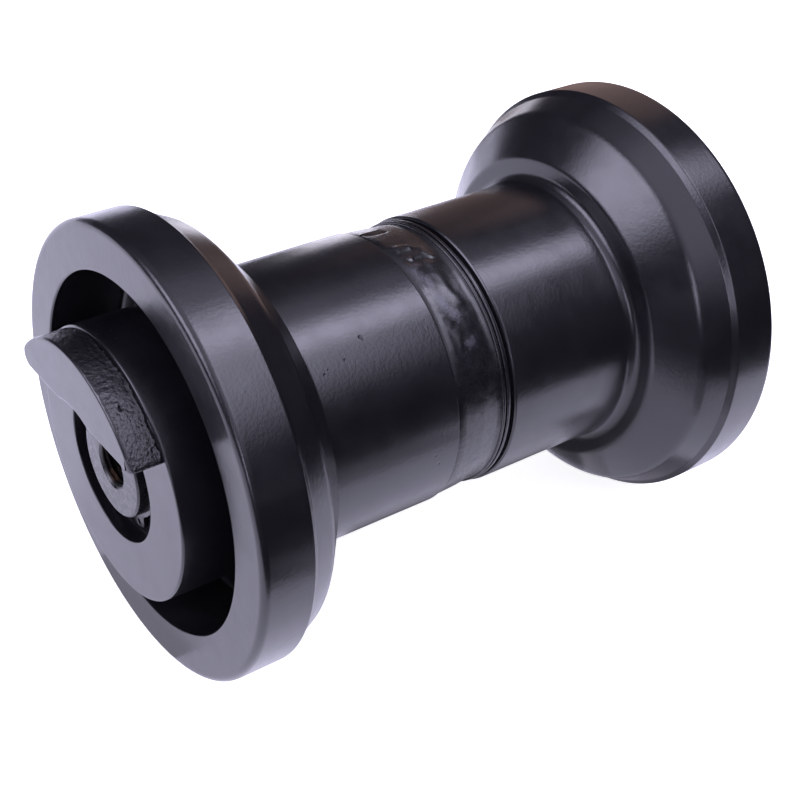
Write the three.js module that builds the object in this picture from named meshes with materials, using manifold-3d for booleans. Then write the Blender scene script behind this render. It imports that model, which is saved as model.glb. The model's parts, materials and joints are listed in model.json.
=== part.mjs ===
// Track roller for a tracked undercarriage, millimetres, +Z up.
// The roller turns about +Y. The origin is the middle of that axis.
// Two forged shell halves are welded back to back. They turn on a fixed shaft, on flanged bushes,
// between two end collars whose half-moon steps key the shaft to the track frame.
// Every turned piece is written as a profile of (radius, y) points for the end at +Y, in the order
// that faces its surface outwards, and the piece at the other end is its mirror image.
import * as THREE from 'three';
import { mergeVertices } from 'three/addons/utils/BufferGeometryUtils.js';
import Module from 'manifold-3d';

const wasm = await Module();
wasm.setup();

// ---- driving dimensions -------------------------------------------------------------------

const FIT_GAP = 0.1; // between fixed pieces that touch
const RUN_GAP = 0.3; // axial play at the bush flanges
const CUT_OVERRUN = 5; // how far a cutting tool stands out of what it cuts

const SHELL = {
  bodyRadius: 63.3,
  filletRadius: 5,
  wallFoot: [68, 84.0], // where the fillet runs out on the flange's inner wall
  wallTop: [73.8, 84.6],
  coneTop: [92.0, 98.8],
  ringTop: [97.6, 110.5],
  rimRadius: 100,
  rimInnerY: 112.8,
  faceY: 135.8,
  faceFillet: 3.2, // between the rim and the outer face
  recessRadius: 79,
  recessFloorY: 100,
  recessFillet: 3,
  edgeChamfer: 0.8,
};
const SEAT = {
  mouthRadius: 47,
  innerRadius: 45.5,
  floorRadius: 44.5,
  depth: 14,
  floorDepth: 16,
  boreChamfer: 1.5,
};
const WELD = {
  rootRadius: 48,
  toeRadius: 61.5,
  capRadius: 61.7,
  crownRadius: 62.0,
  crownStartY: -8,
  crownEndY: 4,
  flankGap: 0.15,
  edgeBreak: 0.4,
  leftEdgeY: -16.0, // the left half's body ends here
  capEndY: 9.6,
  ridgeY: 12.3, // the right half's narrow ridge beside the bead
  ridgeDraft: 0.2, // the ridge leans this much over the groove's depth
  grooveRadius: 58,
  rightEdgeY: 14.4, // the right half's body starts here
};
const SHAFT = {
  journalRadius: 27.5,
  journalEndY: 117.8,
  endRadius: 23,
  endY: 146.8,
  endChamfer: 0.8,
  thrustRadius: 36,
  thrustHalfWidth: 9,
  edgeChamfer: 1,
};
const BOLT_HOLE = { radius: 8.65, mouthRadius: 10.85, depth: 40.8, coneDepth: 5.2 };
const OIL = {
  galleryRadius: 4,
  galleryEndY: -4.5,
  crossRadius: 3,
  seatRadius: 6.6,
  seatDepth: 9,
  seatTaper: 1, // from the bolt hole's end down to the plug's seat
};
const PLUG = {
  radius: 6.3,
  belowHoleEnd: 1.2,
  length: 7.4,
  chamfer: 0.8,
  socketRadius: 3.4,
  socketDepth: 5,
};
const BUSH = {
  boreRadius: 27.6,
  outerRadius: 31.5,
  flangeRadius: 37.8,
  flangeWidth: 3.9,
  endY: 80,
};
const CAVITY_RADIUS = 40; // oil space round the thrust collar
const COLLAR = {
  backY: 101.3,
  faceY: 147,
  radius: 59.4,
  boreRadius: 23.1,
  pocketRadius: 27.9,
  pocketEndY: 118,
  counterboreRadius: 33.6,
  counterboreFloorY: 139,
  edgeChamfer: 0.6,
};
const STEP = { frontY: 161.2, radius: 58.6, chordZ: 31.2, tipRadius: 3, overlap: 2 };
const SEAL = {
  faceY: 100.5, // the two lapped faces meet here
  boreRadius: 33,
  flangeRadius: 42.8,
  flangeWidth: 4.3,
  rampRadius: 38.8,
  rampWidth: 0.4,
  tailRadius: 38,
  length: 14,
};
const TORIC = { centreRadius: 42.3, sectionRadius: 3.4, fromFace: 9.5 };
const COLLAR_O_RING = { grooveRadius: 20.3, startY: 126, width: 3.4, sectionRadius: 1.15 };
const CIRCLIP = {
  innerRadius: 22,
  outerRadius: 26,
  offset: 1.3, // the outer circle is raised, so the ring tapers towards its lugs
  grooveRadius: 21.75,
  startY: 139.25,
  thickness: 1.75,
  gapHalfAngle: 12,
  lugRadius: 29.5,
  lugAngle: 20,
  lugHoleRadius: 1.25,
  lugHoleCentre: 27,
};

// facets round each kind of piece
const SIDES = { shell: 48, collar: 48, shaft: 48, seal: 24, ring: 24, plug: 24, hole: 12 };

// ---- materials ----------------------------------------------------------------------------

function finish(color, roughness, metalness) {
  return new THREE.MeshStandardMaterial({ color, roughness, metalness });
}

const BLACK_PAINT = finish(0x17171a, 0.35, 0.1);
const CAST_PAINT = finish(0x18181b, 0.5, 0.1);
const GROUND_STEEL = finish(0x6f7074, 0.3, 0.9);
const BRONZE = finish(0x9a7042, 0.4, 0.9);
const SEAL_IRON = finish(0x55565a, 0.25, 0.9);
const RUBBER = finish(0x121212, 0.8, 0);

// ---- helpers ------------------------------------------------------------------------------

const roller = new THREE.Group();

function addMesh(name, geometry, material) {
  const mesh = new THREE.Mesh(geometry, material);
  mesh.name = name;
  roller.add(mesh);
}

// Points (radius, y) of a closed ring's profile, revolved about Y.
function ringOfRevolution(points, sides) {
  const profile = points.map(([radius, y]) => new THREE.Vector2(radius, y));
  profile.push(profile[0].clone());
  return new THREE.LatheGeometry(profile, sides);
}

// The same for a solid whose profile starts and ends on the axis.
function solidOfRevolution(points, sides) {
  const profile = points.map(([radius, y]) => new THREE.Vector2(radius, y));
  return new THREE.LatheGeometry(profile, sides);
}

function mirrored(points) {
  return points.map(([radius, y]) => [radius, -y]).reverse();
}

// Points on an arc of a profile, angles in degrees from the radial direction towards +Y.
function arc(centre, radius, startAngle, endAngle, steps) {
  const points = [];
  for (let i = 0; i <= steps; i++) {
    const angle = THREE.MathUtils.degToRad(startAngle + ((endAngle - startAngle) * i) / steps);
    points.push([centre[0] + radius * Math.cos(angle), centre[1] + radius * Math.sin(angle)]);
  }
  return points;
}

function toManifold(geometry) {
  const bare = geometry.clone();
  bare.deleteAttribute('normal');
  bare.deleteAttribute('uv');
  const merged = mergeVertices(bare, 1e-4);
  const vertProperties = new Float32Array(merged.attributes.position.array);
  const corners = [];
  for (let i = 0; i < merged.index.count; i += 3) {
    const [a, b, c] = merged.index.array.slice(i, i + 3);
    if (a !== b && b !== c && c !== a) corners.push(a, b, c); // none of the slivers at a pole
  }
  const triVerts = new Uint32Array(corners);
  return new wasm.Manifold(new wasm.Mesh({ numProp: 3, vertProperties, triVerts }));
}

function fromManifold(solid) {
  const mesh = solid.getMesh();
  const geometry = new THREE.BufferGeometry();
  geometry.setAttribute('position', new THREE.BufferAttribute(mesh.vertProperties, 3));
  geometry.setIndex(new THREE.BufferAttribute(mesh.triVerts, 1));
  geometry.computeVertexNormals();
  return geometry;
}

// A plane shape drawn in (x, z), given thickness along +Y from startY.
function plateAlongY(shape, startY, thickness, curveSegments) {
  const geometry = new THREE.ExtrudeGeometry(shape, {
    depth: thickness,
    bevelEnabled: false,
    curveSegments,
  });
  geometry.rotateX(Math.PI / 2);
  geometry.translate(0, startY + thickness, 0);
  return geometry;
}

// ---- rolling shell ------------------------------------------------------------------------

// From the body's end edge over the flange and down the bores to the cavity beside the root.
function shellOutsideAndBores() {
  const s = SHELL;
  const seatInnerY = s.recessFloorY - SEAT.depth;
  const seatFloorY = s.recessFloorY - SEAT.floorDepth;
  const fillet = s.filletRadius;
  const filletCentre = [s.bodyRadius + fillet, s.wallFoot[1] - fillet];
  const bushSeatRadius = BUSH.outerRadius + FIT_GAP;
  const thrustFaceY = SHAFT.thrustHalfWidth + RUN_GAP + BUSH.flangeWidth + FIT_GAP;
  return [
    ...arc(filletCentre, fillet, 180, 96, 3),
    s.wallTop,
    s.coneTop,
    s.ringTop,
    [s.rimRadius, s.rimInnerY],
    ...arc([s.rimRadius - s.faceFillet, s.faceY - s.faceFillet], s.faceFillet, 0, 90, 4),
    [s.recessRadius + s.edgeChamfer, s.faceY],
    [s.recessRadius, s.faceY - s.edgeChamfer],
    [s.recessRadius, s.recessFloorY + s.recessFillet],
    [s.recessRadius - s.recessFillet, s.recessFloorY],
    [SEAT.mouthRadius, s.recessFloorY],
    [SEAT.innerRadius, seatInnerY],
    [SEAT.floorRadius, seatFloorY],
    [bushSeatRadius + SEAT.boreChamfer, seatFloorY],
    [bushSeatRadius, seatFloorY - SEAT.boreChamfer],
    [bushSeatRadius, thrustFaceY],
    [CAVITY_RADIUS, thrustFaceY],
    [CAVITY_RADIUS, FIT_GAP / 2],
    [WELD.rootRadius, FIT_GAP / 2],
  ];
}

function rightShellProfile() {
  const w = WELD;
  return [
    ...shellOutsideAndBores(),
    [w.capRadius, w.capEndY],
    [w.capRadius, w.ridgeY],
    [w.grooveRadius, w.ridgeY + w.ridgeDraft],
    [w.grooveRadius, w.rightEdgeY],
    [SHELL.bodyRadius - SHELL.edgeChamfer, w.rightEdgeY],
    [SHELL.bodyRadius, w.rightEdgeY + SHELL.edgeChamfer],
  ];
}

function leftShellProfile() {
  const endY = -WELD.leftEdgeY;
  const profile = [
    ...shellOutsideAndBores(),
    [SHELL.bodyRadius - WELD.edgeBreak, endY - WELD.edgeBreak],
    [SHELL.bodyRadius, endY + WELD.edgeBreak],
  ];
  return mirrored(profile);
}

// The bead fills the V between the two halves' bevels and stands a little below the bodies.
function weldProfile() {
  const w = WELD;
  const rightSlope = w.capEndY / (w.capRadius - w.rootRadius);
  const leftSlope = (w.leftEdgeY + w.edgeBreak) / (SHELL.bodyRadius - w.edgeBreak - w.rootRadius);
  const rightFlank = (radius) => (radius - w.rootRadius) * rightSlope - w.flankGap;
  const leftFlank = (radius) => (radius - w.rootRadius) * leftSlope + w.flankGap;
  const tipRadius = w.rootRadius + (2 * w.flankGap) / (rightSlope - leftSlope);
  return [
    [tipRadius, rightFlank(tipRadius)],
    [w.toeRadius, leftFlank(w.toeRadius)],
    [w.crownRadius, w.crownStartY],
    [w.crownRadius, w.crownEndY],
    [w.toeRadius, rightFlank(w.toeRadius)],
  ];
}

function addShell() {
  addMesh('left_shell_half', ringOfRevolution(leftShellProfile(), SIDES.shell), BLACK_PAINT);
  addMesh('right_shell_half', ringOfRevolution(rightShellProfile(), SIDES.shell), BLACK_PAINT);
  addMesh('girth_weld', ringOfRevolution(weldProfile(), SIDES.shell), BLACK_PAINT);
}

// ---- shaft --------------------------------------------------------------------------------

// One end of the shaft outside, from the journal out to the bolt hole's mouth.
function shaftEndProfile() {
  const s = SHAFT;
  const grooveStart = CIRCLIP.startY - FIT_GAP;
  const grooveEnd = CIRCLIP.startY + CIRCLIP.thickness + FIT_GAP;
  const ring = COLLAR_O_RING;
  return [
    [s.journalRadius, s.journalEndY - s.edgeChamfer],
    [s.journalRadius - s.edgeChamfer, s.journalEndY],
    [s.endRadius, s.journalEndY],
    [s.endRadius, ring.startY],
    [ring.grooveRadius, ring.startY],
    [ring.grooveRadius, ring.startY + ring.width],
    [s.endRadius, ring.startY + ring.width],
    [s.endRadius, grooveStart],
    [CIRCLIP.grooveRadius, grooveStart],
    [CIRCLIP.grooveRadius, grooveEnd],
    [s.endRadius, grooveEnd],
    [s.endRadius, s.endY - s.endChamfer],
    [s.endRadius - s.endChamfer, s.endY],
    [BOLT_HOLE.mouthRadius, s.endY],
    [BOLT_HOLE.radius, s.endY - (BOLT_HOLE.mouthRadius - BOLT_HOLE.radius)],
    [BOLT_HOLE.radius, s.endY - BOLT_HOLE.depth],
  ];
}

function shaftProfile() {
  const s = SHAFT;
  const holeEndY = s.endY - BOLT_HOLE.depth;
  const seatEndY = holeEndY - OIL.seatDepth;
  return [
    [0, -(holeEndY - BOLT_HOLE.coneDepth)],
    ...mirrored(shaftEndProfile()),
    [s.journalRadius, -s.thrustHalfWidth],
    [s.thrustRadius, -s.thrustHalfWidth],
    [s.thrustRadius, s.thrustHalfWidth],
    [s.journalRadius, s.thrustHalfWidth],
    ...shaftEndProfile(),
    [OIL.seatRadius, holeEndY - OIL.seatTaper],
    [OIL.seatRadius, seatEndY],
    [OIL.galleryRadius, seatEndY],
    [OIL.galleryRadius, OIL.galleryEndY],
    [0, OIL.galleryEndY],
  ];
}

function addShaft() {
  const turned = toManifold(solidOfRevolution(shaftProfile(), SIDES.shaft));
  const crossHole = new THREE.CylinderGeometry(
    OIL.crossRadius, OIL.crossRadius, 2 * (SHAFT.thrustRadius + CUT_OVERRUN), SIDES.hole);
  crossHole.rotateX(Math.PI / 2);
  addMesh('shaft', fromManifold(turned.subtract(toManifold(crossHole))), GROUND_STEEL);
}

// Screwed into the seat at the bottom of the right bolt hole, with a hexagon socket.
function addOilPlug() {
  const p = PLUG;
  const topY = SHAFT.endY - BOLT_HOLE.depth - p.belowHoleEnd;
  const bottomY = topY - p.length;
  const body = solidOfRevolution([
    [0, bottomY],
    [p.radius - p.chamfer, bottomY],
    [p.radius, bottomY + p.chamfer],
    [p.radius, topY],
    [0, topY],
  ], SIDES.plug);
  const socket = new THREE.CylinderGeometry(p.socketRadius, p.socketRadius, 2 * p.socketDepth, 6);
  socket.translate(0, topY, 0);
  addMesh('oil_fill_plug', fromManifold(toManifold(body).subtract(toManifold(socket))), GROUND_STEEL);
}

// ---- bushes and seals ---------------------------------------------------------------------

function bushProfile() {
  const b = BUSH;
  const thrustY = SHAFT.thrustHalfWidth + RUN_GAP;
  return [
    [b.boreRadius, thrustY],
    [b.flangeRadius, thrustY],
    [b.flangeRadius, thrustY + b.flangeWidth],
    [b.outerRadius, thrustY + b.flangeWidth],
    [b.outerRadius, b.endY],
    [b.boreRadius, b.endY],
  ];
}

// A seal ring outboard of the lapped faces: it sits in the collar and doesn't turn.
function fixedSealProfile() {
  const s = SEAL;
  const faceY = s.faceY + FIT_GAP / 2;
  return [
    [s.boreRadius, faceY],
    [s.flangeRadius, faceY],
    [s.flangeRadius, faceY + s.flangeWidth],
    [s.rampRadius, faceY + s.flangeWidth + s.rampWidth],
    [s.tailRadius, faceY + s.length],
    [s.boreRadius, faceY + s.length],
  ];
}

// The ring that turns with the shell is the same ring on the other side of the lapped face.
function turningSealProfile() {
  return fixedSealProfile().map(([radius, y]) => [radius, 2 * SEAL.faceY - y]).reverse();
}

function toricProfile(side) {
  const centre = [TORIC.centreRadius, SEAL.faceY + side * TORIC.fromFace];
  return arc(centre, TORIC.sectionRadius, 0, 300, 5);
}

function collarORingProfile() {
  const ring = COLLAR_O_RING;
  const centreRadius = (ring.grooveRadius + COLLAR.boreRadius) / 2;
  return arc([centreRadius, ring.startY + ring.width / 2], ring.sectionRadius, 0, 288, 4);
}

function addBushesAndSeals() {
  const pieces = [
    ['bush', bushProfile(), SIDES.shaft, BRONZE],
    ['turning_seal_ring', turningSealProfile(), SIDES.seal, SEAL_IRON],
    ['turning_toric', toricProfile(-1), SIDES.ring, RUBBER],
    ['fixed_seal_ring', fixedSealProfile(), SIDES.seal, SEAL_IRON],
    ['fixed_toric', toricProfile(1), SIDES.ring, RUBBER],
    ['collar_o_ring', collarORingProfile(), SIDES.ring, RUBBER],
  ];
  for (const [name, profile, sides, material] of pieces) {
    addMesh(`left_${name}`, ringOfRevolution(mirrored(profile), sides), material);
    addMesh(`right_${name}`, ringOfRevolution(profile, sides), material);
  }
}

// ---- end collars --------------------------------------------------------------------------

function collarDiscProfile() {
  const c = COLLAR;
  const seatInnerY = c.backY + SEAT.depth;
  return [
    [SEAT.mouthRadius, c.backY],
    [c.radius - c.edgeChamfer, c.backY],
    [c.radius, c.backY + c.edgeChamfer],
    [c.radius, c.faceY],
    [c.boreRadius, c.faceY],
    [c.boreRadius, c.pocketEndY],
    [c.pocketRadius, c.pocketEndY],
    [c.pocketRadius, seatInnerY],
    [SEAT.innerRadius, seatInnerY],
  ];
}

// Half-moon outline above the chord: the arc's two ends are rounded into the chord.
function halfMoonShape() {
  const r = STEP.tipRadius;
  const tipZ = STEP.chordZ + r;
  const tipX = Math.sqrt((STEP.radius - r) ** 2 - tipZ ** 2);
  const tipAngle = Math.atan2(tipZ, tipX);
  const shape = new THREE.Shape();
  shape.moveTo(-tipX, STEP.chordZ);
  shape.lineTo(tipX, STEP.chordZ);
  shape.absarc(tipX, tipZ, r, -Math.PI / 2, tipAngle, false);
  shape.absarc(0, 0, STEP.radius, tipAngle, Math.PI - tipAngle, false);
  shape.absarc(-tipX, tipZ, r, Math.PI - tipAngle, 1.5 * Math.PI, false);
  return shape;
}

// side is +1 for the collar at +Y and -1 for the one at -Y
function collarSolid(side) {
  const discPoints = side > 0 ? collarDiscProfile() : mirrored(collarDiscProfile());
  const disc = toManifold(ringOfRevolution(discPoints, SIDES.collar));
  const stepBackY = COLLAR.faceY - STEP.overlap;
  const stepDepth = STEP.frontY - stepBackY;
  const stepStartY = side > 0 ? stepBackY : -STEP.frontY;
  const moon = plateAlongY(halfMoonShape(), stepStartY, stepDepth, 6);
  const cutterLength = 60;
  const cutter = new THREE.CylinderGeometry(
    COLLAR.counterboreRadius, COLLAR.counterboreRadius, cutterLength, SIDES.collar);
  cutter.translate(0, side * (COLLAR.counterboreFloorY + cutterLength / 2), 0);
  return disc.add(toManifold(moon)).subtract(toManifold(cutter));
}

function addCollars() {
  addMesh('left_collar', fromManifold(collarSolid(-1)), CAST_PAINT);
  addMesh('right_collar', fromManifold(collarSolid(1)), CAST_PAINT);
}

// ---- circlips -----------------------------------------------------------------------------

function polar(radius, angle) {
  return new THREE.Vector2(radius * Math.cos(angle), radius * Math.sin(angle));
}

// Open at the bottom, with a drilled lug at each end.
function circlipShape() {
  const c = CIRCLIP;
  const bottom = -Math.PI / 2;
  const gap = THREE.MathUtils.degToRad(c.gapHalfAngle);
  const lug = THREE.MathUtils.degToRad(c.lugAngle);
  const lugCorner = 0.05; // radians cut off each outer corner of a lug
  const outerStart = bottom + gap + lug;
  const shape = new THREE.Shape();
  shape.absarc(0, c.offset, c.outerRadius, outerStart, Math.PI - outerStart, false);
  for (const angle of [-gap - lug + lugCorner, -gap - lugCorner]) {
    const corner = polar(c.lugRadius, bottom + angle);
    shape.lineTo(corner.x, corner.y);
  }
  shape.absarc(0, 0, c.innerRadius, 2 * Math.PI + bottom - gap, bottom + gap, true);
  for (const angle of [gap + lugCorner, gap + lug - lugCorner]) {
    const corner = polar(c.lugRadius, bottom + angle);
    shape.lineTo(corner.x, corner.y);
  }
  for (const side of [-1, 1]) {
    const centre = polar(c.lugHoleCentre, bottom + side * (gap + lug / 2));
    const rim = [0, 1, 2, 3, 4, 5, 6, 7].map((i) => polar(c.lugHoleRadius, (-i * Math.PI) / 4));
    shape.holes.push(new THREE.Path(rim.map((point) => point.add(centre))));
  }
  return shape;
}

function addCirclips() {
  for (const [name, side] of [['left_circlip', -1], ['right_circlip', 1]]) {
    const startY = side > 0 ? CIRCLIP.startY : -CIRCLIP.startY - CIRCLIP.thickness;
    addMesh(name, plateAlongY(circlipShape(), startY, CIRCLIP.thickness, 14), BLACK_PAINT);
  }
}

addShell();
addShaft();
addOilPlug();
addBushesAndSeals();
addCollars();
addCirclips();

export default roller;
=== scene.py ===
"""Track roller: the looks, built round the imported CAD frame.

Lengths are millimetres unless a comment says metres, and meshes are written in metres. A turned
piece is a profile of (radius, y, corner radius) points for the end at +Y, in the order that faces
its surface outwards; the same profile mirrored makes the piece at the other end. Angles round the
roller run from +X towards +Z.
"""
import json
import math

import bmesh
import bpy
import numpy as np
from mathutils import Matrix, Vector


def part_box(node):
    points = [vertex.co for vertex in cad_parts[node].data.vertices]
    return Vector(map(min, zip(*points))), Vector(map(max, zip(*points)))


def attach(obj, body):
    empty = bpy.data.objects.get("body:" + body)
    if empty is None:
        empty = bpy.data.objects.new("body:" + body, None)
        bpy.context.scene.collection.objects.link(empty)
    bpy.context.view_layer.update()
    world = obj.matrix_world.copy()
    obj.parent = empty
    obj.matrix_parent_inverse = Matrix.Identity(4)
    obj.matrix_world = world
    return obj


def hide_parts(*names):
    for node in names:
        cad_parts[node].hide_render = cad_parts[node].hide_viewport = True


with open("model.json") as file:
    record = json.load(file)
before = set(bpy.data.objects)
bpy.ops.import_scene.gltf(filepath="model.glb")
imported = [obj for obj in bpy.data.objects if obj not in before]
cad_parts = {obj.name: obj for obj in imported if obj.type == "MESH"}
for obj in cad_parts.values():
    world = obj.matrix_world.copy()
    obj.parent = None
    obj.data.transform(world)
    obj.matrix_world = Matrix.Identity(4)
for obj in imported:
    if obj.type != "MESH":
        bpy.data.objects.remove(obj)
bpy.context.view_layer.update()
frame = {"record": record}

MM = 0.001
RECORD = frame["record"]
BODY_OF = {node: body for body, nodes in RECORD["behaviour"]["bodies"].items() for node in nodes}
SLOT_OF = {part["node"]: part["material_slot"] for part in RECORD["subparts"]}


def extent(node):
    """Lowest and highest corner of a CAD node, in millimetres."""
    low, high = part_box(node)
    return low / MM, high / MM


# ---- sizes ----------------------------------------------------------------------------------

SHELL_HIGH = extent("right_shell_half")[1]
SHAFT_HIGH = extent("shaft")[1]
COLLAR_LOW, COLLAR_HIGH = extent("right_collar")
BUSH_LOW, BUSH_HIGH = extent("right_bush")
FIXED_SEAL_LOW, FIXED_SEAL_HIGH = extent("right_fixed_seal_ring")
TURNING_SEAL_HIGH = extent("right_turning_seal_ring")[1]
CLIP_LOW, CLIP_HIGH = extent("right_circlip")
PLUG_LOW, PLUG_HIGH = extent("oil_fill_plug")

# Shell halves: the turned outside, the recess in the end, the seal's seat, the bush's seat.
RIM_RADIUS = SHELL_HIGH.x
FACE_Y = SHELL_HIGH.y
BODY_RADIUS = 63.3
RECESS_RADIUS = 79.0
RECESS_FLOOR_Y = 100.0
SEAT_MOUTH_RADIUS = 47.0
SEAT_INNER_RADIUS = 45.5
SEAT_DEPTH = 14.0
CAVITY_RADIUS = 40.0
BUSH_SEAT_RADIUS = 31.6
BUSH_SEAT_INNER_Y = BUSH_LOW.y + 4.0

# Girth weld, from the left half's edge to the narrow ridge and groove of the right half.
WELD_ROOT_RADIUS = 48.0
WELD_SIDE_RADIUS = 60.8
BEAD_RADIUS = 62.0
LEFT_EDGE_Y = -16.0
WELD_END_Y = 10.25
RIDGE_SIDE_RADIUS = 61.2
RIDGE_RADIUS = 62.45
RIDGE_END_Y = 12.75
RIGHT_EDGE_Y = 14.3
GROOVE_RADIUS = 60.2

# Shaft, with a threaded hole in each end and the oil gallery behind the right one.
JOURNAL_RADIUS = 27.5
JOURNAL_END_Y = 117.8
SHAFT_END_RADIUS = 23.0
SHAFT_END_Y = SHAFT_HIGH.y
THRUST_RADIUS = SHAFT_HIGH.x
THRUST_HALF_WIDTH = 9.0
HOLE_RADIUS = 8.65
HOLE_MOUTH_RADIUS = 10.85
HOLE_DEPTH = 40.8
THREAD_PITCH = 2.5
THREAD_DEPTH = 1.3
THREAD_END_DEPTH = 34.0
THREAD_MESH_STEP = 0.2
DRILL_POINT_DEPTH = 5.2
PLUG_SEAT_RADIUS = 6.6
PLUG_SEAT_DEPTH = 9.0
GALLERY_RADIUS = 4.0
GALLERY_END_Y = -4.5
O_RING_GROOVE = (126.0, 129.4, 20.3)  # y of its two sides, radius of its floor
CLIP_GROOVE_RADIUS = 21.75
GROOVE_GAP = 0.1

# Bushes and face-seal rings.
BUSH_BORE_RADIUS = 27.6
BUSH_OUTER_RADIUS = 31.5
BUSH_FLANGE_WIDTH = 3.9
SEAL_BORE_RADIUS = 33.0
SEAL_FACE_RADIUS = 38.0
SEAL_RING_WIDTH = 4.3

# End collars: the disc, and the half-moon step on its face.
COLLAR_RADIUS = COLLAR_HIGH.x
COLLAR_FACE_Y = 147.0
COLLAR_BACK_Y = COLLAR_LOW.y
COUNTERBORE_RADIUS = 33.6
COUNTERBORE_FLOOR_Y = 139.0
COLLAR_BORE_RADIUS = 23.1
JOURNAL_POCKET_RADIUS = 27.9
JOURNAL_POCKET_Y = 118.0
STEP_FRONT_Y = COLLAR_HIGH.y
STEP_RADIUS = 58.6
STEP_CHORD_Z = 31.2
STEP_EDGE_RADIUS = 1.0
LEFT_TIP_RADIUS = 5.5
RIGHT_TIP_RADIUS = 1.5
NOSE_X = 45.4
NOSE_DEPTH = 2.2
DENT_Y = 154.5
DENT_ANGLE = math.radians(58.2)


# ---- meshes ---------------------------------------------------------------------------------

def rounded(points, closed=True):
    """The profile with its corners rounded, and a point beside each arc that keeps the flats flat."""
    made = []
    for i, (radius, y, corner) in enumerate(points):
        here = Vector((radius, y))
        ends = not closed and i in (0, len(points) - 1)
        before = Vector(points[i - 1][:2]) - here
        after = Vector(points[(i + 1) % len(points)][:2]) - here
        turn = math.pi - (0 if ends else before.angle(after))
        if ends or corner == 0 or turn < math.radians(3):
            made.append((radius, y))
            continue
        tangent = min(corner * math.tan(turn / 2), 0.45 * before.length, 0.45 * after.length)
        arc_radius = tangent / math.tan(turn / 2)
        back, ahead = before.normalized(), after.normalized()
        centre = here + (back + ahead).normalized() * (arc_radius / math.cos(turn / 2))
        first, last = here + back * tangent - centre, here + ahead * tangent - centre
        start = math.atan2(first.y, first.x)
        sweep = (math.atan2(last.y, last.x) - start + math.pi) % (2 * math.pi) - math.pi
        steps = max(3, math.ceil(turn / math.radians(12)))
        support = [min(0.5, 0.3 * (side.length / 2 - tangent)) for side in (before, after)]
        made.append(tuple(here + back * (tangent + support[0])))
        for k in range(steps + 1):
            angle = start + sweep * k / steps
            made.append((centre.x + arc_radius * math.cos(angle), centre.y + arc_radius * math.sin(angle)))
        made.append(tuple(here + ahead * (tangent + support[1])))
    return made


def mirrored(profile):
    return [(radius, -y) for radius, y in reversed(profile)]


def grid_mesh(name, points, wrap_rows):
    """Quads through points[row, column]. Each row is a closed ring; wrap_rows joins last to first."""
    rows, columns = points.shape[:2]
    index = np.arange(rows * columns).reshape(rows, columns)
    if wrap_rows:
        index = np.vstack([index, index[:1]])
    beside = np.roll(index, -1, axis=1)
    quads = np.stack([index[:-1], index[1:], beside[1:], beside[:-1]], axis=-1).reshape(-1, 4)
    mesh = bpy.data.meshes.new(name)
    mesh.from_pydata((points.reshape(-1, 3) * MM).tolist(), [], quads.tolist())
    return mesh


def merge_poles(mesh):
    """Joins the points that meet on the axis, and drops the faces that have no width there."""
    work = bmesh.new()
    work.from_mesh(mesh)
    bmesh.ops.remove_doubles(work, verts=work.verts, dist=1e-7)
    work.to_mesh(mesh)
    work.free()
    return mesh


def revolve(name, profile, sides, side=1, closed=True, warp=None):
    """Turns a profile about Y. warp(radius, y, angle) may move its points, all arrays of one shape."""
    if side < 0:
        profile = mirrored(profile)
    angle = np.arange(sides) * 2 * math.pi / sides
    radius = np.repeat(np.array([p[0] for p in profile])[:, None], sides, axis=1)
    y = np.repeat(np.array([p[1] for p in profile])[:, None], sides, axis=1)
    angle = np.repeat(angle[None, :], len(profile), axis=0)
    if warp:
        radius, y = warp(radius, y, angle)
    points = np.stack([radius * np.cos(angle), y, radius * np.sin(angle)], axis=-1)
    mesh = grid_mesh(name, points, closed)
    return mesh if closed else merge_poles(mesh)


def closed_plate(name, points):
    """A plate across Y: rows of points from back to front, closed by two flat faces."""
    mesh = grid_mesh(name, points, False)
    work = bmesh.new()
    work.from_mesh(mesh)
    work.verts.ensure_lookup_table()
    columns = points.shape[1]
    last = len(work.verts) - columns
    work.faces.new([work.verts[i] for i in range(columns)])
    work.faces.new([work.verts[last + i] for i in reversed(range(columns))])
    bmesh.ops.recalc_face_normals(work, faces=work.faces)
    work.to_mesh(mesh)
    work.free()
    return mesh


def noise_table(seed):
    """Random waves for smooth_noise: direction, phase and size of each."""
    random = np.random.default_rng(seed)
    return random.normal(size=(24, 3)), random.uniform(0, 2 * math.pi, 24)


def smooth_noise(points, scale, seed):
    """Smooth noise of about -1 to 1 at points in millimetres; bumps are about scale wide."""
    directions, phases = noise_table(seed)
    total = np.zeros(points.shape[:-1])
    for direction, phase in zip(directions, phases):
        total += np.sin(points @ direction * (2.2 / scale) + phase)
    return total / math.sqrt(len(phases) * 2)


def smooth_step(low, high, value):
    t = np.clip((value - low) / (high - low), 0, 1)
    return t * t * (3 - 2 * t)


def boolean(mesh, other, operation):
    """mesh joined with or cut by the other mesh."""
    target = bpy.data.objects.new("boolean_target", mesh)
    tool = bpy.data.objects.new("boolean_tool", other)
    for item in (target, tool):
        bpy.context.scene.collection.objects.link(item)
    modifier = target.modifiers.new("boolean", "BOOLEAN")
    modifier.operation = operation
    modifier.solver = "EXACT"
    modifier.object = tool
    evaluated = target.evaluated_get(bpy.context.evaluated_depsgraph_get())
    made = bpy.data.meshes.new_from_object(evaluated)
    for item in (target, tool):
        bpy.data.objects.remove(item)
    return made


def add_piece(node, mesh):
    """Puts a mesh in the place of a CAD node, on that node's body and with its slot's material."""
    slot = SLOT_OF[node]
    mesh.materials.clear()
    mesh.materials.append(MATERIALS[slot])
    mesh.shade_smooth()
    mesh.set_sharp_from_angle(angle=math.radians(40))
    piece = bpy.data.objects.new(node + "_detail", mesh)
    bpy.context.scene.collection.objects.link(piece)
    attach(piece, BODY_OF[node])
    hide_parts(node)
    return piece


# ---- materials ------------------------------------------------------------------------------

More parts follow.
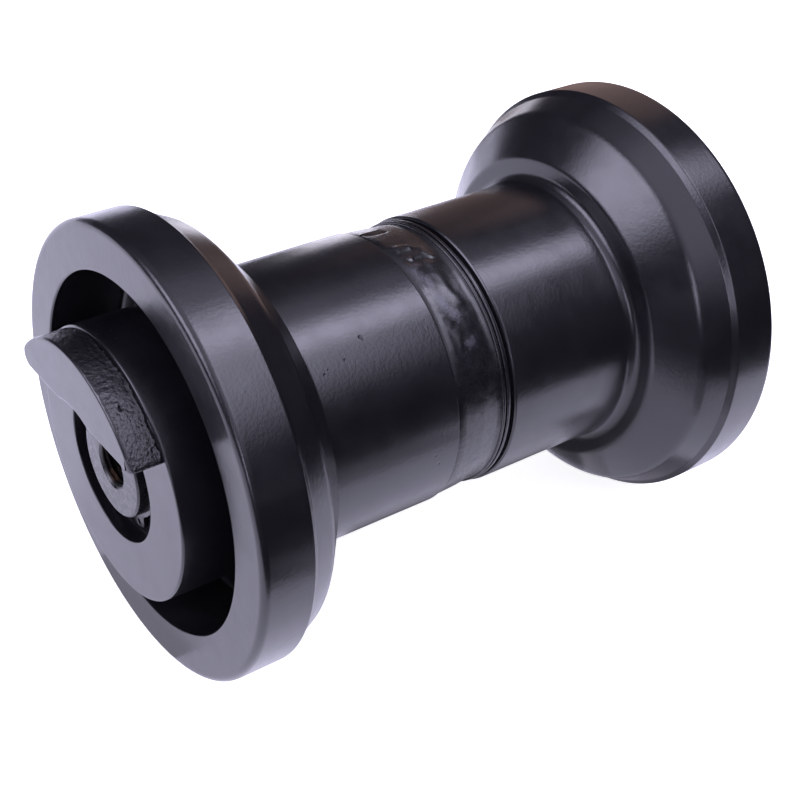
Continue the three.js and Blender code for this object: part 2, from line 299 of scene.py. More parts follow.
class Nodes:
    """Adds linked nodes to the node tree of a material or of the world."""

    def __init__(self, tree):
        self.tree = tree

    def add(self, kind, inputs=(), **settings):
        node = self.tree.nodes.new(kind)
        for name, value in settings.items():
            setattr(node, name, value)
        for key, value in dict(inputs).items():
            if isinstance(value, bpy.types.NodeSocket):
                self.tree.links.new(value, node.inputs[key])
            else:
                node.inputs[key].default_value = value
        return node

    def ramp(self, value, low, high, out_low=0.0, out_high=1.0):
        """out_low where the value is low, out_high where it is high, and a smooth step between."""
        inputs = {"Value": value, "From Min": low, "From Max": high, "To Min": out_low, "To Max": out_high}
        return self.add("ShaderNodeMapRange", inputs, interpolation_type="SMOOTHSTEP").outputs[0]

    def math(self, operation, *values):
        return self.add("ShaderNodeMath", dict(enumerate(values)), operation=operation).outputs[0]


class Shader(Nodes):
    """Builds one material's nodes round its Principled shader."""

    def __init__(self, name, **constants):
        self.material = bpy.data.materials.new(name)
        self.material.use_nodes = True
        super().__init__(self.material.node_tree)
        self.surface = self.tree.nodes["Principled BSDF"]
        for socket, value in constants.items():
            self.surface.inputs[socket.replace("_", " ")].default_value = value
        self.place = self.add("ShaderNodeTexCoord").outputs["Object"]

    def noise(self, size, detail=2.0, place=None, roughness=0.5):
        """Noise whose bumps are about size millimetres wide."""
        inputs = {"Vector": place or self.place, "Scale": 1 / (size * MM), "Detail": detail,
                  "Roughness": roughness}
        return self.add("ShaderNodeTexNoise", inputs).outputs["Fac"]

    def stretch(self, factors):
        """Object coordinates in metres, scaled by factors, one for each axis."""
        return self.add("ShaderNodeMapping", {"Vector": self.place, "Scale": factors}).outputs[0]

    def mix(self, amount, first, second):
        """A colour between first and second, each a socket or red, green and blue."""
        colours = [value if isinstance(value, bpy.types.NodeSocket) else (*value, 1)
                   for value in (first, second)]
        inputs = {0: amount, 6: colours[0], 7: colours[1]}
        return self.add("ShaderNodeMix", inputs, data_type="RGBA").outputs[2]

    def bump(self, height, depth, under=None):
        """A bump as deep as depth millimetres where the height is 1."""
        inputs = {"Height": height, "Distance": depth * MM, "Strength": 1.0}
        if under is not None:
            inputs["Normal"] = under
        return self.add("ShaderNodeBump", inputs).outputs[0]

    def use(self, socket, value):
        self.tree.links.new(value, self.surface.inputs[socket])

    def round_place(self):
        """Distance from the axis and y, in millimetres, and angle in radians, as values."""
        split = self.add("ShaderNodeSeparateXYZ", {"Vector": self.stretch((1 / MM, 1 / MM, 1 / MM))})
        x, y, z = (split.outputs[axis] for axis in "XYZ")
        squares = [self.math("MULTIPLY", value, value) for value in (x, z)]
        radius = self.math("SQRT", self.math("ADD", *squares))
        return radius, y, self.math("ARCTAN2", z, x)

    def spot(self, y, degrees, radius, size):
        """1 at a point of the surface, falling to 0 at size millimetres from it."""
        angle = math.radians(degrees)
        centre = (radius * math.cos(angle) * MM, y * MM, radius * math.sin(angle) * MM)
        away = self.add("ShaderNodeVectorMath", {0: self.place, 1: centre}, operation="DISTANCE")
        return self.ramp(away.outputs["Value"], size * MM, 0.2 * size * MM)


# Small pits in the body's paint: y, angle in degrees, size.
PAINT_PITS = (
    (-51.7, 52.6, 1.0), (-51.1, 51.4, 0.6), (-73.4, 43.7, 0.8), (-71.2, 45.0, 0.6),
    (-62.4, 46.4, 0.8), (-26.0, -7.8, 0.9), (-28.5, -3.0, 0.8), (35.0, 90.1, 0.8),
)
PIT_DEPTH_PER_SIZE = 0.22


def black_enamel(name, peel=0.02, cast=False, sheen_spread=0.05, pits=()):
    """Glossy black enamel; peel sets how deep its orange peel is, cast adds the step's wrinkles."""
    shader = Shader(name, IOR=1.5, Specular_Tint=(1.0, 0.99, 1.0, 1.0))
    patches = shader.noise(28, 3)
    film = shader.ramp(patches, 0.35, 0.7)
    colour = shader.mix(film, (0.0036, 0.0035, 0.0046), (0.0060, 0.0057, 0.0070))
    grains = shader.ramp(shader.noise(1.1, 3, roughness=0.7), 0.66, 0.76)
    dust = shader.math("MULTIPLY", grains, shader.ramp(shader.noise(16, 2), 0.5, 0.75))
    colour = shader.mix(shader.math("MULTIPLY", dust, 0.35), colour, (0.04, 0.037, 0.034))
    shader.use("Base Color", colour)
    streaks = shader.noise(9, 4)
    rough = shader.ramp(streaks, 0.3, 0.75, 0.22, 0.22 + sheen_spread)
    shader.use("Roughness", shader.math("ADD", rough, shader.math("MULTIPLY", dust, 0.2)))
    waves = shader.bump(shader.noise(3.4, 1), peel * 0.6)
    skin = shader.bump(shader.noise(1.5, 3, roughness=0.6), peel * 2.8, waves)
    for y, degrees, size in pits:
        skin = shader.bump(shader.spot(y, degrees, BODY_RADIUS, size), -PIT_DEPTH_PER_SIZE * size, skin)
    if cast:
        wrinkles = shader.math("MULTIPLY", shader.noise(1.9, 3, roughness=0.55), cast_part(shader))
        skin = shader.bump(wrinkles, 0.5, skin)
    shader.use("Normal", skin)
    return shader.material


def cast_part(shader):
    """1 on the curved outside of the half-moon steps, 0 elsewhere."""
    radius, y, _ = shader.round_place()
    along = shader.math("ABSOLUTE", y)
    ahead_of_disc = shader.ramp(along, COLLAR_FACE_Y + 0.5, COLLAR_FACE_Y + 2)
    behind_front = shader.ramp(along, STEP_FRONT_Y - 0.4, STEP_FRONT_Y - 1.7)
    outside = shader.ramp(radius, STEP_RADIUS - 4.6, STEP_RADIUS - 2.1)
    return shader.math("MULTIPLY", shader.math("MULTIPLY", ahead_of_disc, behind_front), outside)


def painted_weld():
    """Black paint over the weld, with a painted highlight: a pale dusty smear along the top of the bead."""
    shader = Shader("weld_bead_paint", IOR=1.5)
    patches = shader.ramp(shader.noise(6, 4), 0.4, 0.7)
    paint = shader.mix(patches, (0.0038, 0.0036, 0.0047), (0.0075, 0.007, 0.0078))
    _, y, angle = shader.round_place()
    # Painted highlight: a pale band along the top of the bead, about 26 to 78 degrees round, where the key
    # light's reflection falls, speckled like dust.
    along = shader.math("MULTIPLY", shader.ramp(angle, 0.45, 0.72), shader.ramp(angle, 1.36, 1.22))
    middle_y = shader.math("MULTIPLY_ADD", angle, -6.5, 0.5)
    beside = shader.math("ABSOLUTE", shader.math("SUBTRACT", y, middle_y))
    painted_highlight_band = shader.math("MULTIPLY", along, shader.ramp(beside, 7.5, 1.5))
    highlight_patches = shader.math("MULTIPLY", shader.ramp(shader.noise(7, 3), 0.4, 0.66), painted_highlight_band)
    speckle = shader.ramp(shader.noise(0.9, 3, roughness=0.7), 0.35, 0.75, 0.25, 1.0)
    # dust carries the painted highlight here, broken up by the speckle.
    dust = shader.math("MULTIPLY", highlight_patches, speckle)
    shader.use("Base Color", shader.mix(dust, paint, (0.115, 0.112, 0.135)))
    rough = shader.ramp(shader.noise(4, 3), 0.3, 0.7, 0.23, 0.3)
    shader.use("Roughness", shader.math("ADD", rough, shader.math("MULTIPLY", dust, 0.2)))
    waves = shader.bump(shader.noise(3.4, 1), 0.02)
    shader.use("Normal", shader.bump(shader.noise(1.5, 3, roughness=0.6), 0.036, waves))
    return shader.material


def shaft_steel():
    """Black enamel on the exposed end, bare ground steel inboard, dark greasy threads with painted shade in
    the holes.
    """
    shader = Shader("shaft_steel", IOR=1.5)
    radius, y, _ = shader.round_place()
    along = shader.math("ABSOLUTE", y)
    inboard = shader.ramp(along, COUNTERBORE_FLOOR_Y - 0.5, COUNTERBORE_FLOOR_Y - 1.5)
    near_axis = shader.ramp(radius, HOLE_MOUTH_RADIUS + 0.35, HOLE_MOUTH_RADIUS - 0.25)
    hole = shader.math("MULTIPLY", near_axis, shader.ramp(along, SHAFT_END_Y - 0.6, SHAFT_END_Y - 1.3))
    outside = shader.math("SUBTRACT", 1.0, hole)
    grinding = shader.noise(1.5, 3, shader.stretch((1, 12, 1)))
    steel = shader.mix(grinding, (0.34, 0.34, 0.36), (0.5, 0.5, 0.52))
    film = shader.ramp(shader.noise(9, 3), 0.35, 0.7)
    paint = shader.mix(film, (0.0036, 0.0034, 0.0045), (0.007, 0.0066, 0.0075))
    # Painted shade in both holes: dark brown grease colour over the whole bore, made darker still by the
    # metallic mix below.
    clots = shader.ramp(shader.noise(3.2, 3), 0.5, 0.68)
    grease_and_shade = shader.mix(clots, (0.005, 0.004, 0.0035), (0.035, 0.02, 0.011))
    bare = shader.math("MULTIPLY", inboard, outside)
    shader.use("Base Color", shader.mix(hole, shader.mix(bare, paint, steel), grease_and_shade))
    shader.use("Metallic", shader.math("ADD", bare, shader.math("MULTIPLY", hole, 0.9)))
    sheen = shader.ramp(shader.noise(2.5, 3), 0.3, 0.7, 0.24, 0.38)
    shader.use("Roughness", shader.math("ADD", sheen, shader.math("MULTIPLY", hole, 0.35)))
    shader.use("Normal", shader.bump(shader.noise(1.25, 2), 0.016, shader.bump(shader.noise(6, 1), 0.02)))
    return shader.material


def bright_metal(name, dark, light, roughness, grain, stretch=(1, 1, 1)):
    """Machined metal: fine tool marks and patches in colour, roughness and height."""
    shader = Shader(name, Metallic=1.0)
    marks = shader.noise(grain, 4, shader.stretch(stretch), 0.65)
    stains = shader.ramp(shader.noise(12, 3), 0.35, 0.7)
    colour = shader.mix(marks, dark, light)
    shade = tuple(value * 0.6 for value in dark)
    shader.use("Base Color", shader.mix(shader.math("MULTIPLY", stains, 0.4), colour, shade))
    shader.use("Roughness", shader.ramp(marks, 0.2, 0.8, roughness - 0.06, roughness + 0.1))
    shader.use("Normal", shader.bump(marks, 0.01))
    return shader.material


def bearing_bronze():
    """Rolled bronze with rows of round oil pockets."""
    shader = Shader("bearing_bronze", Metallic=1.0)
    marks = shader.noise(1.8, 4, shader.stretch((1, 6, 1)), 0.6)
    pockets = shader.add("ShaderNodeTexVoronoi", {"Vector": shader.place, "Scale": 170.0, "Randomness": 0.15})
    pit = shader.ramp(pockets.outputs["Distance"], 0.3, 0.36)
    colour = shader.mix(marks, (0.46, 0.27, 0.1), (0.66, 0.42, 0.19))
    shader.use("Base Color", shader.mix(pit, (0.12, 0.07, 0.03), colour))
    shader.use("Roughness", shader.ramp(marks, 0.2, 0.8, 0.28, 0.42))
    shader.use("Normal", shader.bump(pit, 0.25, shader.bump(marks, 0.01)))
    return shader.material


def seal_rubber():
    """Matt black rubber with a faint grey bloom."""
    shader = Shader("seal_rubber", IOR=1.52)
    bloom = shader.ramp(shader.noise(5, 4), 0.4, 0.75)
    shader.use("Base Color", shader.mix(bloom, (0.012, 0.012, 0.012), (0.035, 0.034, 0.033)))
    shader.use("Roughness", shader.ramp(bloom, 0.0, 1.0, 0.55, 0.75))
    shader.use("Normal", shader.bump(shader.noise(0.8, 3), 0.02))
    return shader.material


MATERIALS = {
    "shell_paint": black_enamel("shell_paint", pits=PAINT_PITS),
    "weld_bead": painted_weld(),
    "collar_paint": black_enamel("collar_paint", peel=0.014, cast=True),
    "shaft_steel": shaft_steel(),
    "spring_steel": black_enamel("spring_steel_paint", peel=0.02, sheen_spread=0.12),
    "plug_steel": bright_metal("plug_steel", (0.3, 0.28, 0.2), (0.55, 0.5, 0.36), 0.35, 2.0),
    "bearing_bronze": bearing_bronze(),
    "seal_iron": bright_metal("seal_iron", (0.22, 0.22, 0.24), (0.36, 0.36, 0.38), 0.24, 0.9),
    "seal_rubber": seal_rubber(),
}


# ---- rolling shell --------------------------------------------------------------------------

SHELL_SIDES = 256


def shell_outside_and_bores():
    """From the body over the flange and down the bores to the cavity beside the weld's root."""
    seat_inner_y = RECESS_FLOOR_Y - SEAT_DEPTH
    seat_floor_y = seat_inner_y - 2
    return [
        (BODY_RADIUS, 83.5, 5),
        (73.8, 84.6, 5),
        (92.0, 98.8, 9),
        (97.6, 110.5, 1.2),
        (RIM_RADIUS, 112.8, 0.7),
        (RIM_RADIUS, FACE_Y, 3.2),
        (RECESS_RADIUS, FACE_Y, 0.9),
        (RECESS_RADIUS, RECESS_FLOOR_Y, 3),
        (SEAT_MOUTH_RADIUS, RECESS_FLOOR_Y, 0.5),
        (SEAT_INNER_RADIUS, seat_inner_y, 0.5),
        (SEAT_INNER_RADIUS - 1, seat_floor_y, 1),
        (BUSH_SEAT_RADIUS + 1.5, seat_floor_y, 0.3),
        (BUSH_SEAT_RADIUS, seat_floor_y - 1.5, 0.3),
        (BUSH_SEAT_RADIUS, BUSH_SEAT_INNER_Y, 0.2),
        (CAVITY_RADIUS, BUSH_SEAT_INNER_Y, 0.4),
        (CAVITY_RADIUS, 0.05, 0.2),
        (WELD_ROOT_RADIUS, 0.05, 0.2),
    ]


def add_shell_halves():
    """Both halves: the right one ends in a narrow ridge and a groove, the left one in a plain edge."""
    right = rounded(shell_outside_and_bores() + [
        (RIDGE_SIDE_RADIUS, WELD_END_Y + 0.05, 0.1),
        (RIDGE_SIDE_RADIUS + 0.1, WELD_END_Y + 0.5, 0.1),
        (RIDGE_RADIUS, WELD_END_Y + 0.6, 0.9),
        (RIDGE_RADIUS, RIDGE_END_Y - 0.15, 0.9),
        (GROOVE_RADIUS, RIDGE_END_Y, 0.5),
        (GROOVE_RADIUS, RIGHT_EDGE_Y - 0.1, 0.5),
        (BODY_RADIUS - 0.7, RIGHT_EDGE_Y, 0.3),
        (BODY_RADIUS, RIGHT_EDGE_Y + 0.7, 0.5),
    ])
    left = rounded(shell_outside_and_bores() + [
        (RIDGE_SIDE_RADIUS, -LEFT_EDGE_Y - 1.4, 0.2),
        (BODY_RADIUS - 0.3, -LEFT_EDGE_Y, 0.15),
        (BODY_RADIUS, -LEFT_EDGE_Y + 0.4, 0.2),
    ])
    add_piece("right_shell_half", revolve("right_shell", right, SHELL_SIDES))
    add_piece("left_shell_half", revolve("left_shell", left, SHELL_SIDES, side=-1))


# Lumps and folds of the bead: y and angle in degrees where each starts and ends, half width, height.
WELD_MARKS = (
    ((-9.8, 85.8), (-4.0, 85.0), 1.9, 0.8),
    ((-3.0, 85.6), (0.8, 83.6), 1.4, 0.35),
    ((-8.6, 77.4), (1.2, 75.8), 2.1, -0.45),
    ((-7.9, 79.3), (-7.2, 78.9), 1.1, 0.3),
    ((0.3, 80.4), (1.3, 79.4), 1.3, 0.4),
    ((-10.5, 71.7), (-11.2, 63.3), 1.8, 0.16),
    ((-1.6, 65.8), (-0.3, 53.3), 2.2, 0.22),
    ((-10.7, 49.3), (-7.4, 37.0), 1.8, 0.16),
    ((-13.3, 106.4), (-2.7, 106.3), 1.0, 0.4),
    ((-12.4, 103.2), (-3.5, 102.6), 1.1, -0.45),
)


# The bead's crown: y and radius, from its rounded toe at the left to the rolled lip at the right.
WELD_CROWN = (
    (-15.65, 61.4), (-15.1, 61.95), (-14.0, 62.35), (-12.0, 62.5), (-8.0, 62.3), (-2.0, 61.9),
    (3.0, 61.3), (6.0, 61.0), (7.6, 61.1), (8.4, 61.35),
)
WELD_START_Y = LEFT_EDGE_Y + 0.35
WELD_SIDES = 900
LIP_Y = 9.4
LIP_RADIUS = 61.4
LIP_SIZE = 0.85


def weld_profile():
    """The bead's section: its sides, the smoothed crown and the half-round lip."""
    crown_end_y = WELD_CROWN[-1][0]
    crown_y = np.append(np.arange(WELD_START_Y, crown_end_y, 0.25), crown_end_y)
    crown_radius = np.interp(crown_y, [y for y, _ in WELD_CROWN], [radius for _, radius in WELD_CROWN])
    smooth_radius = np.convolve(np.pad(crown_radius, 2, mode="edge"), np.ones(5) / 5, mode="valid")
    turns = np.radians(np.arange(180, -1, -15))
    lip = [(LIP_RADIUS + LIP_SIZE * math.sin(t), LIP_Y + LIP_SIZE * math.cos(t)) for t in turns]
    return [
        (WELD_ROOT_RADIUS + 0.4, 0.0),
        (WELD_SIDE_RADIUS, WELD_START_Y + 0.4),
        *zip(smooth_radius, crown_y),
        *lip,
        (WELD_SIDE_RADIUS, WELD_END_Y - 0.05),
    ]


def weld_marks(y, around, place):
    """Height of the lumps and folds, each a soft stroke bent by noise."""
    degree = math.radians(1) * BEAD_RADIUS
    bent_around = around + 1.0 * smooth_noise(place, 4.5, 15)
    bent_y = y + 0.9 * smooth_noise(place, 4.5, 16)
    height = 0.0
    for (start_y, start_angle), (end_y, end_angle), half_width, rise in WELD_MARKS:
        run_y, run_around = end_y - start_y, (end_angle - start_angle) * degree
        aside_y, aside_around = bent_y - start_y, bent_around - start_angle * degree
        length_squared = max(run_y ** 2 + run_around ** 2, 1e-6)
        t = np.clip((aside_y * run_y + aside_around * run_around) / length_squared, 0, 1)
        away_squared = (aside_y - t * run_y) ** 2 + (aside_around - t * run_around) ** 2
        height = height + rise * np.exp(-away_squared / half_width ** 2)
    return height


def welded(radius, y, angle):
    """Raises and sinks the bead's crown: waves, ripples left by the torch, lumps and folds."""
    place = np.stack([BEAD_RADIUS * np.cos(angle), y, BEAD_RADIUS * np.sin(angle)], axis=-1)
    around = angle * BEAD_RADIUS
    on_surface = smooth_step(WELD_SIDE_RADIUS + 0.05, WELD_SIDE_RADIUS + 0.3, radius)
    inside = smooth_step(WELD_START_Y, WELD_START_Y + 1.2, y) * smooth_step(LIP_Y - 0.8, LIP_Y - 2.2, y)
    waves = 0.06 * smooth_noise(place, 11, 11) + 0.035 * smooth_noise(place, 3.5, 12)
    swirl = 2.2 * smooth_noise(place, 16, 13)
    ripples = 0.03 * np.sin(2 * math.pi * (around + 0.45 * np.abs(y + 3) + swirl) / 3.1)
    rippled = smooth_step(-0.3, 1.0, smooth_noise(place, 20, 14))
    height = waves + ripples * rippled + weld_marks(y, around, place)
    return radius + on_surface * inside * height, y


def add_weld():
    add_piece("girth_weld", revolve("weld", weld_profile(), WELD_SIDES, warp=welded))


# ---- shaft and its fittings -----------------------------------------------------------------

def shaft_end(hole):
    """Profile of the shaft's end: journal, O-ring and circlip grooves, end face, then the hole's."""
    ring_start, ring_end, ring_radius = O_RING_GROOVE
    clip_start, clip_end = CLIP_LOW.y - GROOVE_GAP, CLIP_HIGH.y + GROOVE_GAP
    return [
        (JOURNAL_RADIUS, JOURNAL_END_Y - 1, 0.2),
        (JOURNAL_RADIUS - 1, JOURNAL_END_Y, 0.2),
        (SHAFT_END_RADIUS, JOURNAL_END_Y, 0.2),
        (SHAFT_END_RADIUS, ring_start, 0.1),
        (ring_radius, ring_start, 0.1),
        (ring_radius, ring_end, 0.1),
        (SHAFT_END_RADIUS, ring_end, 0.1),
        (SHAFT_END_RADIUS, clip_start, 0.1),
        (CLIP_GROOVE_RADIUS, clip_start, 0.1),
        (CLIP_GROOVE_RADIUS, clip_end, 0.1),
        (SHAFT_END_RADIUS, clip_end, 0.1),
        (SHAFT_END_RADIUS, SHAFT_END_Y - 0.8, 0.5),
        (SHAFT_END_RADIUS - 0.8, SHAFT_END_Y, 0.5),
        (HOLE_MOUTH_RADIUS, SHAFT_END_Y, 0.25),
        *hole,
    ]


def threaded(radius, y, angle):
    """Cuts the helical thread into the two bolt holes."""
    depth = SHAFT_END_Y - np.abs(y)
    in_hole = (radius < HOLE_RADIUS + 2.3) & (radius > HOLE_RADIUS - 0.1) & (depth < THREAD_END_DEPTH)
    phase = (y / THREAD_PITCH + angle * np.sign(y) / (2 * math.pi)) % 1.0
    form = np.clip(1.15 - np.abs(2 * phase - 1) * 1.45, 0, 1)
    fade = smooth_step(THREAD_END_DEPTH, THREAD_END_DEPTH - 3, depth)
    cut = HOLE_RADIUS + THREAD_DEPTH * form * fade
    return np.where(in_hole, np.maximum(radius, cut), radius), y


def with_fine_hole_walls(profile):
    """The profile with short steps along the walls of the two holes, for the thread's form."""
    made = [profile[0]]
    for (radius, y), (next_radius, next_y) in zip(profile, profile[1:]):
        widest, narrowest = max(radius, next_radius), min(radius, next_radius)
        if widest <= HOLE_MOUTH_RADIUS + 0.01 and narrowest >= HOLE_RADIUS - 0.01:
            pieces = math.ceil(math.hypot(next_radius - radius, next_y - y) / THREAD_MESH_STEP)
            for k in range(1, pieces):
                t = k / pieces
                made.append((radius + (next_radius - radius) * t, y + (next_y - y) * t))
        made.append((next_radius, next_y))
    return made


def add_shaft():
    hole_end_y = SHAFT_END_Y - HOLE_DEPTH
    wall = [
        (HOLE_RADIUS, SHAFT_END_Y - (HOLE_MOUTH_RADIUS - HOLE_RADIUS), 0),
        (HOLE_RADIUS, hole_end_y, 0),
    ]
    left_hole = wall + [(0, hole_end_y - DRILL_POINT_DEPTH, 0)]
    right_hole = wall + [
        (PLUG_SEAT_RADIUS, hole_end_y - 1, 0),
        (PLUG_SEAT_RADIUS, hole_end_y - PLUG_SEAT_DEPTH, 0),
        (GALLERY_RADIUS, hole_end_y - PLUG_SEAT_DEPTH, 0),
        (GALLERY_RADIUS, GALLERY_END_Y, 0),
        (0, GALLERY_END_Y, 0),
    ]
    left = mirrored(rounded(shaft_end(left_hole), closed=False))
    right = rounded(shaft_end(right_hole), closed=False)
    thrust = rounded([
        (JOURNAL_RADIUS, -THRUST_HALF_WIDTH - 2, 0),
        (JOURNAL_RADIUS, -THRUST_HALF_WIDTH, 0.4),
        (THRUST_RADIUS, -THRUST_HALF_WIDTH, 0.6),
        (THRUST_RADIUS, THRUST_HALF_WIDTH, 0.6),
        (JOURNAL_RADIUS, THRUST_HALF_WIDTH, 0.4),
        (JOURNAL_RADIUS, THRUST_HALF_WIDTH + 2, 0),
    ], closed=False)
    profile = with_fine_hole_walls(left + thrust + right)
    add_piece("shaft", revolve("shaft", profile, 160, closed=False, warp=threaded))


def add_oil_plug():
    """A round plug with a chamfered nose and a hexagonal socket in its outer end."""
    radius = PLUG_HIGH.x
    socket_radius, socket_across_flats, socket_depth = 3.2, 6.0, 5.0
    profile = rounded([
        (0, PLUG_LOW.y, 0),
        (radius - 0.8, PLUG_LOW.y, 0.2),
        (radius, PLUG_LOW.y + 0.8, 0.2),
        (radius, PLUG_HIGH.y, 0.5),
        (socket_radius + 0.7, PLUG_HIGH.y, 0.3),
        (socket_radius, PLUG_HIGH.y - 0.8, 0.1),
        (socket_radius, PLUG_HIGH.y - socket_depth, 0.1),
        (0, PLUG_HIGH.y - socket_depth - 1, 0),
    ], closed=False)

    def hexagon(radius_now, y, angle):
        on_wall = (radius_now > 0.1) & (radius_now < socket_radius + 0.05) & (y > PLUG_LOW.y + 1)
        flats = socket_across_flats / 2 / np.cos((angle + math.pi / 6) % (math.pi / 3) - math.pi / 6)
        return np.where(on_wall, flats, radius_now), y

    add_piece("oil_fill_plug", revolve("plug", profile, 96, closed=False, warp=hexagon))


def add_bushes_and_seals():
    """Flanged bushes, seal rings with a shoulder for their torics, and the round rubber rings."""
    fixed_low, fixed_high = FIXED_SEAL_LOW.y, FIXED_SEAL_HIGH.y
    fixed_seal = [
        (SEAL_BORE_RADIUS, fixed_low, 0.4),
        (FIXED_SEAL_HIGH.x, fixed_low, 0.5),
        (FIXED_SEAL_HIGH.x, fixed_low + SEAL_RING_WIDTH, 0.5),
        (SEAL_FACE_RADIUS + 0.8, fixed_low + SEAL_RING_WIDTH + 0.4, 0.8),
        (SEAL_FACE_RADIUS, fixed_high, 0.6),
        (SEAL_BORE_RADIUS, fixed_high, 0.6),
    ]
    turning_seal = [(r, TURNING_SEAL_HIGH.y + fixed_low - y, c) for r, y, c in reversed(fixed_seal)]
    bush = [
        (BUSH_BORE_RADIUS, BUSH_LOW.y, 0.4),
        (BUSH_HIGH.x, BUSH_LOW.y, 0.4),
        (BUSH_HIGH.x, BUSH_LOW.y + BUSH_FLANGE_WIDTH, 0.4),
        (BUSH_OUTER_RADIUS, BUSH_LOW.y + BUSH_FLANGE_WIDTH, 0.4),
        (BUSH_OUTER_RADIUS, BUSH_HIGH.y, 0.8),
        (BUSH_BORE_RADIUS, BUSH_HIGH.y, 0.8),
    ]

    def round_section(node, sides=24):
        low, high = extent(node)
        section = (high.y - low.y) / 2
        centre = (high.x - section, (high.y + low.y) / 2)
        turns = [2 * math.pi * k / sides for k in range(sides)]
        return [(centre[0] + section * math.cos(t), centre[1] + section * math.sin(t)) for t in turns]

    for end, side in (("left", -1), ("right", 1)):
        for name, profile, sides in (
            ("bush", rounded(bush), 160),
            ("fixed_seal_ring", rounded(fixed_seal), 160),
            ("turning_seal_ring", rounded(turning_seal), 160),
            ("fixed_toric", round_section("right_fixed_toric"), 128),
            ("turning_toric", round_section("right_turning_toric"), 128),
            ("collar_o_ring", round_section("right_collar_o_ring", 16), 128),
        ):
            node = f"{end}_{name}"
            add_piece(node, revolve(node, profile, sides, side=side))


# ---- end collars ----------------------------------------------------------------------------

def collar_disc(name, side):
    """The collar without its step: seal seat behind, counterbore in front, bore between."""
    seat_inner_y = COLLAR_BACK_Y + SEAT_DEPTH
    profile = rounded([
        (SEAT_MOUTH_RADIUS, COLLAR_BACK_Y, 0.5),
        (COLLAR_RADIUS, COLLAR_BACK_Y, 0.8),
        (COLLAR_RADIUS, COLLAR_FACE_Y, 0.9),
        (COUNTERBORE_RADIUS, COLLAR_FACE_Y, 0.5),
        (COUNTERBORE_RADIUS, COUNTERBORE_FLOOR_Y, 0.4),
        (COLLAR_BORE_RADIUS, COUNTERBORE_FLOOR_Y, 0.3),
        (COLLAR_BORE_RADIUS, JOURNAL_POCKET_Y, 0.2),
        (JOURNAL_POCKET_RADIUS, JOURNAL_POCKET_Y, 0.2),
        (JOURNAL_POCKET_RADIUS, seat_inner_y, 0.4),
        (SEAT_INNER_RADIUS, seat_inner_y, 0.6),
    ])
    return revolve(name, profile, 256, side=side)


def half_moon_outline():
    """Points (x, z) round the step: the chord with the counterbore's arch, the tips, the arc."""
    arch_x = math.sqrt(COUNTERBORE_RADIUS ** 2 - STEP_CHORD_Z ** 2)
    arch_angle = math.atan2(STEP_CHORD_Z, arch_x)

    def line(start_x, end_x, count):
        return [(start_x + (end_x - start_x) * k / count, STEP_CHORD_Z) for k in range(count)]

    def arc(centre, radius, start, end, count):
        angles = [start + (end - start) * k / count for k in range(count)]
        return [(centre[0] + radius * math.cos(a), centre[1] + radius * math.sin(a)) for a in angles]

    def tip(radius):
        z = STEP_CHORD_Z + radius
        x = math.sqrt((STEP_RADIUS - radius) ** 2 - z ** 2)
        return x, z, math.atan2(z, x)

    right_x, right_z, right_angle = tip(RIGHT_TIP_RADIUS)
    left_x, left_z, left_angle = tip(LEFT_TIP_RADIUS)
    points = arc((0, 0), COUNTERBORE_RADIUS, math.pi - arch_angle, arch_angle, 50)
    points += line(arch_x, right_x, 70)
    points += arc((right_x, right_z), RIGHT_TIP_RADIUS, -math.pi / 2, right_angle, 18)
    points += arc((0, 0), STEP_RADIUS, right_angle, math.pi - left_angle, 260)
    points += arc((-left_x, left_z), LEFT_TIP_RADIUS, math.pi - left_angle, 1.5 * math.pi, 30)
    points += line(-left_x, -arch_x, 56)
    return np.array(points)


def half_moon_levels():
    """(y, inset) of each outline from back to front: a straight side, then a rounded front edge."""
    edge = STEP_EDGE_RADIUS
    side_end_y = STEP_FRONT_Y - edge - 0.3
    levels = [(y, 0.0) for y in np.arange(COLLAR_FACE_Y - 0.6, side_end_y, 0.35)]
    levels.append((side_end_y, 0.0))
    for k in range(7):
        angle = math.pi / 2 * k / 6
        levels.append((STEP_FRONT_Y - edge * (1 - math.sin(angle)), edge * (1 - math.cos(angle))))
    levels.append((STEP_FRONT_Y, edge + 0.4))
    return levels


def cast_skin(points, side):
    """How far the curved outside stands proud: wrinkles, pits, one dent, the seam at the disc."""
    y = np.abs(points[..., 1])
    from_axis = np.hypot(points[..., 0], points[..., 2])
    outside = smooth_step(STEP_CHORD_Z + 0.3, STEP_CHORD_Z + 2.5, points[..., 2])
    outside *= smooth_step(COUNTERBORE_RADIUS + 8, COUNTERBORE_RADIUS + 12, from_axis)
    behind_edge = smooth_step(STEP_FRONT_Y - 0.1, STEP_FRONT_Y - 1.6, y)
    bent = points + 0.8 * smooth_noise(points, 3, 27)[..., None]
    wrinkles = 1 - 2 * np.abs(smooth_noise(bent, 2.3, 24))
    patchy = smooth_step(-1.0, 0.6, smooth_noise(points, 12, 28))
    rolls = 0.10 * smooth_noise(points, 9, 23) + 0.085 * wrinkles * patchy
    pits = -0.20 * smooth_step(0.9, 1.7, smooth_noise(points, 2.4, 21))
    dent_x, dent_z = STEP_RADIUS * math.cos(DENT_ANGLE), STEP_RADIUS * math.sin(DENT_ANGLE)
    dent = np.array([dent_x, side * DENT_Y, dent_z])
    lump = dent + np.array([0.3, 1.2 * side, 0.9])
    pits -= 0.75 * np.exp(-(np.linalg.norm(points - dent, axis=-1) / 0.9) ** 2)
    pits += 0.40 * np.exp(-(np.linalg.norm(points - lump, axis=-1) / 0.8) ** 2)
    seam_y = COLLAR_FACE_Y + 1.2 + 0.5 * smooth_noise(points * [1, 0, 1], 5, 25)
    seam = 0.42 * np.exp(-((y - seam_y) / 0.5) ** 2) * (0.6 + 0.6 * smooth_noise(points, 1.8, 26))
    return outside * (behind_edge * (pits + rolls) + seam)


